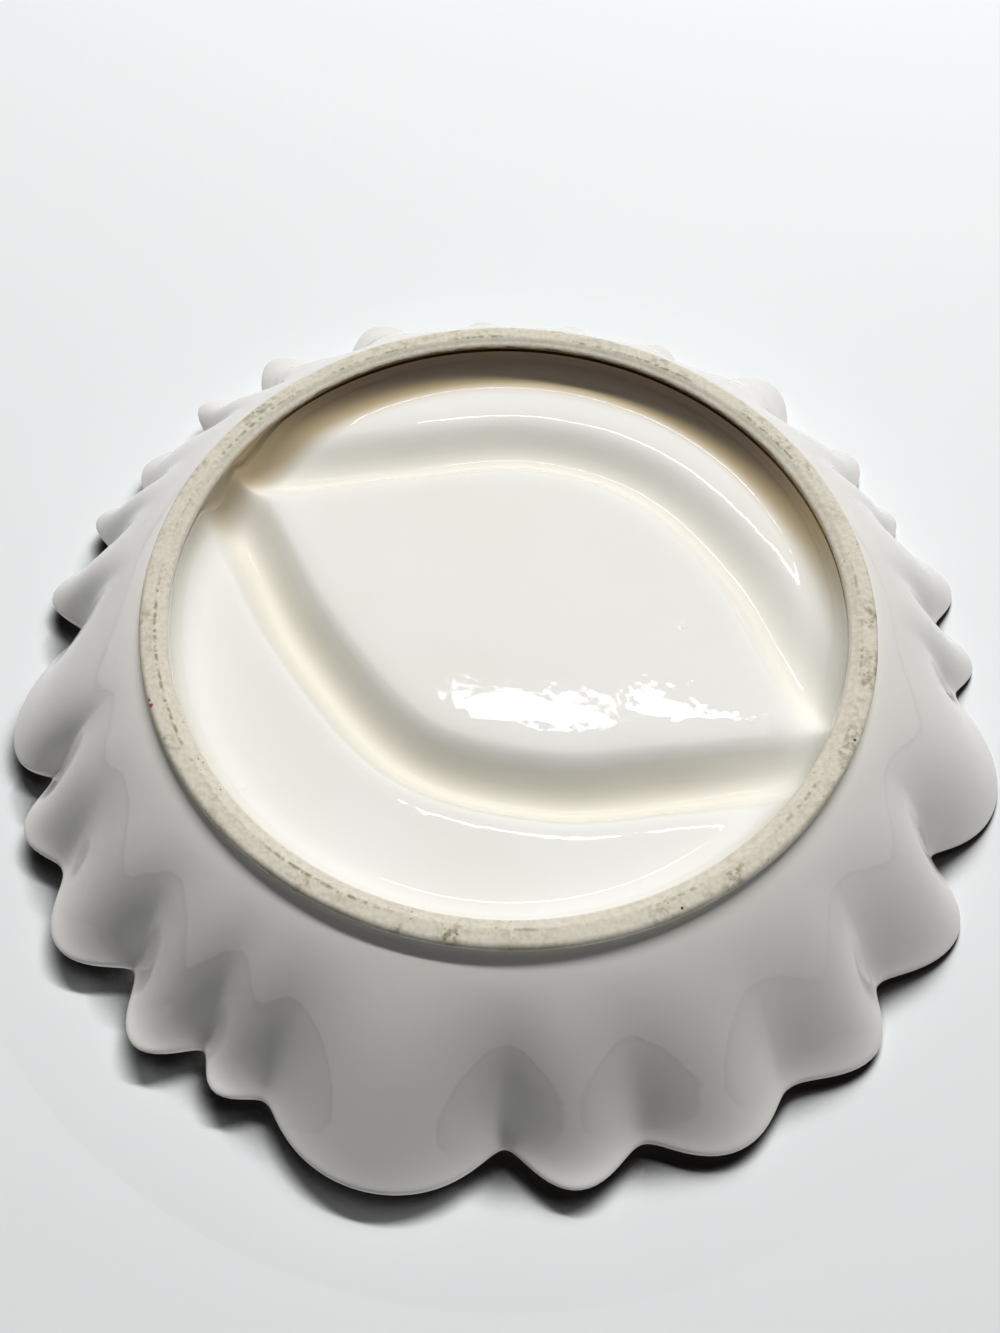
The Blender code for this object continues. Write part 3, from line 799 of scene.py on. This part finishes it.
def slab_piece(node, plan, triangles, tops, bases, up_normals, down_normals, finish):
    """Closed piece between the floor and the underside over some of the plan's triangles."""
    used, local = np.unique(triangles, return_inverse=True)
    local = local.reshape(-1, 3)
    count = len(used)
    points = np.concatenate([
        np.column_stack([plan[used], tops[used]]),
        np.column_stack([plan[used], bases[used]]),
    ])
    faces = []
    corners = []
    sides = {}
    centres = plan[triangles].mean(axis=1)
    over_foot = np.hypot(centres[:, 0], centres[:, 1]) > RECESS_RADIUS
    for (a, b, c), places, covered in zip(local.tolist(), triangles.tolist(), over_foot):
        faces.append([a, b, c])
        corners.append([tuple(up_normals[place]) for place in places])
        faces.append([c + count, b + count, a + count])
        corners.append(None if covered else [tuple(down_normals[place]) for place in places[::-1]])
        for start, end in ((a, b), (b, c), (c, a)):
            if (end, start) in sides:
                del sides[end, start]
            else:
                sides[start, end] = True
    for start, end in sides:
        faces.append([end, start, start + count, end + count])
        corners.append(None)
    clean = np.zeros(count)
    under = points[count:]
    # tints: pooled glaze with painted shade, and painted shade under the foot ring's inner edge
    tints = {
        "pool_and_shade": np.concatenate([clean, pooling_and_shade(under)]),
        "crevice_shade": np.concatenate([clean, painted_crevice_shade(under)]),
    }
    new_piece("glazed_" + node, points, faces, corners, node, finish, tints)


def make_slabs(finish):
    plan, triangles = plan_mesh()
    centres = plan[triangles].mean(axis=1)
    inside = np.hypot(centres[:, 0], centres[:, 1]) < FOOT_RADIUS
    triangles = triangles[inside]
    a, b, c = (plan[triangles[:, corner]] for corner in range(3))
    area = (b[:, 0] - a[:, 0]) * (c[:, 1] - a[:, 1]) - (b[:, 1] - a[:, 1]) * (c[:, 0] - a[:, 0])
    triangles[area < 0] = triangles[area < 0][:, ::-1]
    names = region_of(plan[triangles].mean(axis=1))
    tops = floor_height(plan)
    bases = base_height(plan)
    up_normals = height_normals(floor_height, plan, 1.0)
    down_normals = base_normals(plan)
    for node in sorted(set(names)):
        chosen = triangles[names == node]
        slab_piece(node, plan, chosen, tops, bases, up_normals, down_normals, finish)


def make_wall_and_foot(glaze, bisque):
    foot = foot_rows()
    outer = outer_rows()
    inner = inner_rows()
    rows = foot + crease_rows()[1:] + outer + lip_rows(outer, inner) + inner
    grid = np.array(rows)
    normals = grid_normals(grid)
    normals[-1] = height_normals(floor_height, grid[-1, :, :2], 1.0)
    ring = slice(0, len(foot))
    wall = slice(len(foot) - 1, len(rows))
    grid_piece("bare_foot_ring", grid[ring], normals[ring], "foot_ring", bisque)
    grid_piece("glazed_fluted_wall", grid[wall], normals[wall], "fluted_wall", glaze)


def make_camera():
    data = bpy.data.cameras.new("photo_camera")
    data.lens = CAMERA_LENS
    data.sensor_width = CAMERA_SENSOR
    data.clip_start = CAMERA_CLIP
    camera = bpy.data.objects.new("photo_camera", data)
    bpy.context.scene.collection.objects.link(camera)
    tilt = Matrix.Rotation(math.pi / 2 - CAMERA_TILT, 4, "X")
    tilt = tilt @ Matrix.Rotation(CAMERA_ROLL, 4, "Z")
    back = tilt.to_3x3() @ Vector((0.0, 0.0, 1.0))
    place = Vector((*CAMERA_AIM, 0.0)) + back * CAMERA_DISTANCE
    camera.matrix_world = Matrix.Rotation(math.pi, 4, "Y") @ Matrix.Translation(place) @ tilt
    bpy.context.scene.camera = camera


class Nodes:
    """Empty node tree of a material or world, with short ways to add and join nodes."""

    def __init__(self, owner):
        owner.use_nodes = True
        self.tree = owner.node_tree
        self.tree.nodes.clear()

    def add(self, kind, **values):
        node = self.tree.nodes.new(kind)
        for name, value in values.items():
            setattr(node, name, value)
        return node

    def feed(self, socket, value):
        """Join a socket to another one, or set it to a number or colour."""
        if isinstance(value, bpy.types.NodeSocket):
            self.tree.links.new(value, socket)
        elif isinstance(value, tuple):
            socket.default_value = (*value, 1.0)
        else:
            socket.default_value = value

    def math(self, operation, first, second):
        node = self.add("ShaderNodeMath", operation=operation)
        self.feed(node.inputs[0], first)
        self.feed(node.inputs[1], second)
        return node.outputs[0]

    def ramp(self, value, low, high, start=0.0, end=1.0):
        """Soft change from start to end while the value goes from low to high."""
        node = self.add("ShaderNodeMapRange", interpolation_type="SMOOTHSTEP")
        for socket, part in zip(node.inputs, (value, low, high, start, end)):
            self.feed(socket, part)
        return node.outputs["Result"]

    def mix(self, share, first, second):
        node = self.add("ShaderNodeMix", data_type="RGBA")
        self.feed(node.inputs["Factor"], share)
        self.feed(node.inputs["A"], first)
        self.feed(node.inputs["B"], second)
        return node.outputs["Result"]

    def noise(self, place, scale, detail):
        node = self.add("ShaderNodeTexNoise")
        self.feed(node.inputs["Vector"], place)
        node.inputs["Scale"].default_value = scale
        node.inputs["Detail"].default_value = detail
        return node.outputs["Fac"]

    def pattern(self, place, values, start=0.0, end=1.0):
        """Noise that goes softly from start to end between two of its values."""
        scale, detail, low, high = values
        return self.ramp(self.noise(place, scale, detail), low, high, start, end)

    def dots(self, place, scale, radius, kept):
        """Round dots in some of the cells of a random pattern; radius is a share of a cell."""
        node = self.add("ShaderNodeTexVoronoi")
        self.feed(node.inputs["Vector"], place)
        node.inputs["Scale"].default_value = scale
        dot = self.ramp(node.outputs["Distance"], radius * DOT_CORE, radius, 1.0, 0.0)
        parts = self.add("ShaderNodeSeparateColor")
        self.feed(parts.inputs[0], node.outputs["Color"])
        return self.math("MULTIPLY", dot, self.math("LESS_THAN", parts.outputs[0], kept))

    def bump(self, height, depth, below):
        node = self.add("ShaderNodeBump")
        self.feed(node.inputs["Height"], height)
        node.inputs["Distance"].default_value = depth
        if below is not None:
            self.feed(node.inputs["Normal"], below)
        return node.outputs["Normal"]

    def place(self):
        return self.add("ShaderNodeTexCoord").outputs["Object"]

    def attribute(self, name):
        return self.add("ShaderNodeAttribute", attribute_name=name).outputs["Fac"]

    def length(self, vector):
        node = self.add("ShaderNodeVectorMath", operation="LENGTH")
        self.feed(node.inputs[0], vector)
        return node.outputs["Value"]

    def finish(self, surface):
        output = self.add("ShaderNodeOutputMaterial")
        self.feed(output.inputs["Surface"], surface)


def glaze_shader(nodes, place, clean, warm):
    """Glossy glaze: cloudy, warmer where it pooled, with painted shade in the hollows and the
    crease under the foot, tan to dark brown painted shade under the foot ring's inner edge,
    pinholes and soft waves.

    The two colours are those of the outer side, which on the wall are greyed with painted shade;
    the inside has the floors' colours.
    """
    clouds = nodes.pattern(place, GLAZE_CLOUDS)
    slope = nodes.add("ShaderNodeSeparateXYZ")
    nodes.feed(slope.inputs[0], nodes.add("ShaderNodeNewGeometry").outputs["Normal"])
    # painted shade: downward-facing outer sides take the darker outer colours, upward-facing sides
    # the floors' colours
    inside = nodes.ramp(slope.outputs["Z"], *INSIDE_SLOPE)
    outer = nodes.mix(clouds, clean, warm)
    colour = nodes.mix(inside, outer, nodes.mix(clouds, GLAZE_COLOUR, GLAZE_WARM))
    # glaze gathered thick, partly painted shade, in the hollows and beside the ring; painted shade
    # in the crease under the foot
    colour = nodes.mix(nodes.attribute("pool_and_shade"), colour, GLAZE_POOLED_AND_SHADED)
    # painted shade, tan then dark brown, under the foot ring's inner edge
    crevice_shade = nodes.attribute("crevice_shade")
    colour = nodes.mix(nodes.ramp(crevice_shade, *TAN_SHADE_RANGE), colour, GLAZE_TAN_SHADE)
    colour = nodes.mix(nodes.ramp(crevice_shade, *DARK_SHADE_RANGE), colour, GLAZE_CREVICE_SHADE)
    colour = nodes.mix(nodes.dots(place, *GLAZE_PITS), colour, GLAZE_PIT)
    shader = nodes.add("ShaderNodeBsdfPrincipled")
    nodes.feed(shader.inputs["Base Color"], colour)
    nodes.feed(shader.inputs["Roughness"], nodes.pattern(place, GLAZE_GLOSS, *GLAZE_ROUGHNESS))
    normal = None
    for scale, detail, height in GLAZE_WAVES:
        normal = nodes.bump(nodes.noise(place, scale, detail), height, normal)
    normal = nodes.bump(nodes.dots(place, *GLAZE_PIMPLES), PIMPLE_HEIGHT, normal)
    nodes.feed(shader.inputs["Normal"], normal)
    return shader.outputs[0]


def make_glaze(name, clean, warm):
    made = bpy.data.materials.new(name)
    nodes = Nodes(made)
    nodes.finish(glaze_shader(nodes, nodes.place(), clean, warm))
    return made


def near_spot(nodes, place, spot, radius):
    """1 at a spot on the foot ring, 0 beyond its ragged edge."""
    node = nodes.add("ShaderNodeVectorMath", operation="DISTANCE")
    nodes.feed(node.inputs[0], place)
    bearing, distance = spot
    x, y = on_bearing(math.radians(bearing), distance)
    node.inputs[1].default_value = (x, y, 0.0)
    ragged = nodes.math("MULTIPLY", nodes.noise(place, *SPOT_NOISE), radius)
    reach = nodes.math("ADD", node.outputs["Value"], ragged)
    return nodes.ramp(reach, radius, SPOT_SOFTNESS * radius, 1.0, 0.0)


def bisque_shader(nodes, place, from_axis):
    """Bare clay of the foot: grainy and stained outside, smoother on the inner chamfer."""
    grain = nodes.noise(place, *GRAIN_NOISE)
    colour = nodes.mix(nodes.ramp(grain, *GRAIN_RANGE), BISQUE_PALE, BISQUE_COLOUR)
    worn = nodes.ramp(from_axis, SMOOTH_EDGE, SMOOTH_EDGE + WORN_WIDTH)
    soiled = nodes.pattern(place, CLAY_SOIL, SOIL_LEAST, 1.0)
    fine = nodes.pattern(place, CLAY_FINE)
    stain = nodes.math("MULTIPLY", nodes.pattern(place, CLAY_BLOTCHES), fine)
    stain = nodes.math("MULTIPLY", stain, nodes.math("MAXIMUM", worn, WORN_LEAST))
    colour = nodes.mix(nodes.math("MULTIPLY", stain, soiled), colour, BISQUE_STAIN)
    broken = nodes.pattern(place, CLAY_BREAKS)
    edge = nodes.math("ABSOLUTE", nodes.math("SUBTRACT", from_axis, SMOOTH_EDGE), 0.0)
    line = nodes.math("MULTIPLY", nodes.ramp(edge, *LINE_REACH, 1.0, 0.0), fine)
    colour = nodes.mix(nodes.math("MULTIPLY", line, broken), colour, BISQUE_STAIN)
    rim = nodes.ramp(from_axis, *RIM_STAIN_EDGE, 0.0, RIM_STAIN_SHARE)
    colour = nodes.mix(nodes.math("MULTIPLY", rim, broken), colour, BISQUE_STAIN)
    specks = nodes.math("MULTIPLY", nodes.dots(place, *CLAY_SPECKS), SPECK_SHARE)
    colour = nodes.mix(nodes.math("MULTIPLY", specks, soiled), colour, BISQUE_SPECK)
    for spot, radius, tint in FOOT_SPOTS:
        colour = nodes.mix(near_spot(nodes, place, spot, radius), colour, tint)
    shader = nodes.add("ShaderNodeBsdfPrincipled")
    nodes.feed(shader.inputs["Base Color"], colour)
    nodes.feed(shader.inputs["Roughness"], nodes.ramp(worn, 0.0, 1.0, *BISQUE_ROUGHNESS))
    normal = nodes.bump(grain, GRAIN_HEIGHT, None)
    normal = nodes.bump(nodes.noise(place, *LUMP_NOISE), LUMP_HEIGHT, normal)
    nodes.feed(shader.inputs["Normal"], normal)
    return shader.outputs[0]


def make_bisque():
    """Finish of the foot ring: bare clay on the bearing face, glaze above a ragged line."""
    made = bpy.data.materials.new("bare_bisque")
    nodes = Nodes(made)
    place = nodes.place()
    parts = nodes.add("ShaderNodeSeparateXYZ")
    nodes.feed(parts.inputs[0], place)
    flat = nodes.add("ShaderNodeVectorMath", operation="MULTIPLY")
    nodes.feed(flat.inputs[0], place)
    flat.inputs[1].default_value = (1.0, 1.0, 0.0)
    from_axis = nodes.length(flat.outputs[0])
    ragged = nodes.math("MULTIPLY", nodes.noise(place, *BAND_NOISE), BAND_RAGGED)
    height = nodes.math("ADD", parts.outputs["Z"], ragged)
    glazed = nodes.ramp(height, BAND_HEIGHT, BAND_HEIGHT + BAND_SOFTNESS)
    mix = nodes.add("ShaderNodeMixShader")
    nodes.feed(mix.inputs["Fac"], glazed)
    nodes.feed(mix.inputs[1], bisque_shader(nodes, place, from_axis))
    # the glaze above the band takes the wall's colours, greyed with painted shade
    nodes.feed(mix.inputs[2], glaze_shader(nodes, place, SHADED_WALL_COLOUR, SHADED_WALL_WARM))
    nodes.finish(mix.outputs[0])
    return made


def shaded(nodes, colour, shade, light):
    """Colour that goes dark where something stands close in the light's way."""
    near = nodes.add("ShaderNodeAmbientOcclusion", samples=SHADE_SAMPLES)
    near.inputs["Distance"].default_value = SHADE_REACH
    towards = nodes.add("ShaderNodeCombineXYZ")
    for socket, part in zip(towards.inputs, light.normalized()):
        nodes.feed(socket, part)
    nodes.feed(near.inputs["Normal"], towards.outputs[0])
    return nodes.mix(nodes.ramp(near.outputs["AO"], *shade), SHADE_COLOUR, colour)


def one_sided(name, colour, bounces, shade=None, light=None, fade=None):
    """Plain surface that the camera sees on its front side only; shadow rays pass through.

    One that bounces light is also there for the dish's own rays, and isn't seen edge-on.
    A shade makes it go dark close to the dish, a fade thins it out further away.
    """
    made = bpy.data.materials.new(name)
    nodes = Nodes(made)
    path = nodes.add("ShaderNodeLightPath")
    share = path.outputs["Is Camera Ray"]
    if bounces:
        facing = nodes.add("ShaderNodeLayerWeight").outputs["Facing"]
        share = nodes.math("MULTIPLY", share, nodes.ramp(facing, *EDGE_ON, 1.0, 0.0))
        for kind in ("Is Diffuse Ray", "Is Glossy Ray"):
            share = nodes.math("MAXIMUM", share, path.outputs[kind])
    if fade:
        from_middle = nodes.length(nodes.place())
        share = nodes.math("MULTIPLY", share, nodes.ramp(from_middle, *fade, 1.0, 0.0))
    geometry = nodes.add("ShaderNodeNewGeometry")
    front = nodes.math("SUBTRACT", 1.0, geometry.outputs["Backfacing"])
    surface = nodes.add("ShaderNodeBsdfDiffuse")
    nodes.feed(surface.inputs["Color"], shaded(nodes, colour, shade, light) if shade else colour)
    clear = nodes.add("ShaderNodeBsdfTransparent")
    mix = nodes.add("ShaderNodeMixShader")
    nodes.feed(mix.inputs["Fac"], nodes.math("MULTIPLY", share, front))
    nodes.feed(mix.inputs[1], clear.outputs[0])
    nodes.feed(mix.inputs[2], surface.outputs[0])
    nodes.finish(mix.outputs[0])
    return made


def make_stage(name, points, faces, material):
    mesh = bpy.data.meshes.new(name)
    mesh.from_pydata(points, [], faces)
    mesh.materials.append(material)
    piece = bpy.data.objects.new(name, mesh)
    bpy.context.scene.collection.objects.link(piece)


def table_level(plan):
    """Height of the table: it leans under the rim and slopes gently down further out."""
    lean = np.clip(plan, -SHADE_EDGE, SHADE_EDGE) @ np.array(TABLE_LEAN)
    beyond = np.maximum(np.hypot(plan[:, 0], plan[:, 1]) - SHADE_EDGE, 0.0)
    return TABLE_HEIGHT + lean - TABLE_SLOPE * beyond


def floor_level(plan):
    return np.full(len(plan), FLOOR_LEVEL)


def make_ring(name, first, second, level, material):
    """Ring between two outlines; it faces down where the first one lies inside the second."""
    count = len(BEARING)
    plan = np.concatenate([first, second])
    points = np.column_stack([plan, level(plan)]).tolist()
    faces = []
    for index in range(count):
        beside = (index + 1) % count
        faces.append((index, beside, beside + count, index + count))
    make_stage(name, points, faces, material)


def lamp_place(right, elevation, distance):
    """Place on the foot's side, by its bearing right of far and its height in the photograph."""
    level = math.cos(elevation) * distance
    drop = math.sin(elevation) * distance
    return Vector((-math.sin(right) * level, math.cos(right) * level, -drop))


def make_photo_table():
    """Surface at the level of the rim, seen from the foot's side, open under the dish."""
    inset, _ = flute(1.0)
    inner = on_bearing(BEARING, RIM_RADIUS - inset - TABLE_INSET)
    middle = on_bearing(BEARING, SHADE_EDGE)
    outer = on_bearing(BEARING, TABLE_REACH)
    light = lamp_place(SHADE_RIGHT, SHADE_ELEVATION, 1.0)
    near = one_sided("table_near", TABLE_COLOUR, True, TABLE_SHADE, light)
    make_ring("table_near", inner, middle, table_level, near)
    far = one_sided("photo_table", TABLE_COLOUR, True)
    make_ring("photo_table", middle, outer, table_level, far)


def make_floor():
    """Floor under the foot, seen from above, that fades into the background further out."""
    middle = on_bearing(BEARING, SHADE_EDGE)
    near = one_sided("floor_near", FLOOR_COLOUR, False, FLOOR_SHADE, Vector(UPPER_PLACE))
    disc = np.column_stack([middle, floor_level(middle)]).tolist()
    make_stage("floor_near", disc, [tuple(range(len(disc)))], near)
    far = one_sided("studio_floor", FLOOR_COLOUR, False, fade=FLOOR_FADE)
    make_ring("studio_floor", on_bearing(BEARING, FLOOR_FADE[1]), middle, floor_level, far)


def make_lamp(name, place, size, power, colour, gloss):
    """Area lamp facing the dish; gloss tells whether the glaze mirrors it."""
    data = bpy.data.lights.new(name, "AREA")
    data.shape = "RECTANGLE"
    data.size, data.size_y = size
    data.energy = power
    data.color = colour
    lamp = bpy.data.objects.new(name, data)
    bpy.context.scene.collection.objects.link(lamp)
    lamp.location = place
    lamp.rotation_euler = (-place).to_track_quat("-Z", "Y").to_euler()
    lamp.visible_glossy = gloss


def make_world():
    """Soft fill, brighter from the far side and from above, with a pale background."""
    world = bpy.data.worlds.new("studio")
    bpy.context.scene.world = world
    nodes = Nodes(world)
    parts = nodes.add("ShaderNodeSeparateXYZ")
    nodes.feed(parts.inputs[0], nodes.add("ShaderNodeTexCoord").outputs["Generated"])
    level = nodes.ramp(parts.outputs["Y"], -1.0, 1.0, FILL_NEAR, FILL_FAR)
    fill = nodes.ramp(parts.outputs["Z"], *FILL_TURN, level, FILL_ABOVE)
    path = nodes.add("ShaderNodeLightPath")
    seen = path.outputs["Is Camera Ray"]
    for kind in ("Is Glossy Ray", "Is Transmission Ray"):
        seen = nodes.math("MAXIMUM", seen, path.outputs[kind])
    strength = nodes.add("ShaderNodeMix")
    nodes.feed(strength.inputs["Factor"], seen)
    nodes.feed(strength.inputs["A"], fill)
    strength.inputs["B"].default_value = BACKGROUND
    background = nodes.add("ShaderNodeBackground")
    nodes.feed(background.inputs["Color"], FILL_COLOUR)
    nodes.feed(background.inputs["Strength"], strength.outputs["Result"])
    output = nodes.add("ShaderNodeOutputWorld")
    nodes.feed(output.inputs["Surface"], background.outputs[0])


def make_lights():
    make_world()
    key = lamp_place(KEY_RIGHT, KEY_ELEVATION, KEY_DISTANCE)
    make_lamp("key", key, KEY_SIZE, KEY_POWER, KEY_COLOUR, False)
    for index, (right, elevation, size) in enumerate(PANES):
        pane = lamp_place(math.radians(right), math.radians(elevation), PANE_DISTANCE)
        power = PANE_RADIANCE * math.pi * size[0] * size[1]
        make_lamp("pane_%d" % index, pane, size, power, PANE_COLOUR, True)
    make_lamp("upper_key", Vector(UPPER_PLACE), UPPER_SIZE, UPPER_POWER, UPPER_COLOUR, True)


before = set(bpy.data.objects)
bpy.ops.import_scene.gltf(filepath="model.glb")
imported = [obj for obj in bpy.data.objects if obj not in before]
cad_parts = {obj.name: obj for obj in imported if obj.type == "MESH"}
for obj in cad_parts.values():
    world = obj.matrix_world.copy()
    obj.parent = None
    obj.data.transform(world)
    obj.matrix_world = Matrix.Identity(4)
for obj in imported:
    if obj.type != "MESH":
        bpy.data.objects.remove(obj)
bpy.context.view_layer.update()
bpy.context.scene.view_settings.view_transform = "Standard"
# the wall's outer glaze is greyer than the floors': painted shade
make_wall_and_foot(make_glaze("wall_glaze", SHADED_WALL_COLOUR, SHADED_WALL_WARM), make_bisque())
make_slabs(make_glaze("cream_glaze", GLAZE_COLOUR, GLAZE_WARM))
make_photo_table()
make_floor()
make_lights()
make_camera()
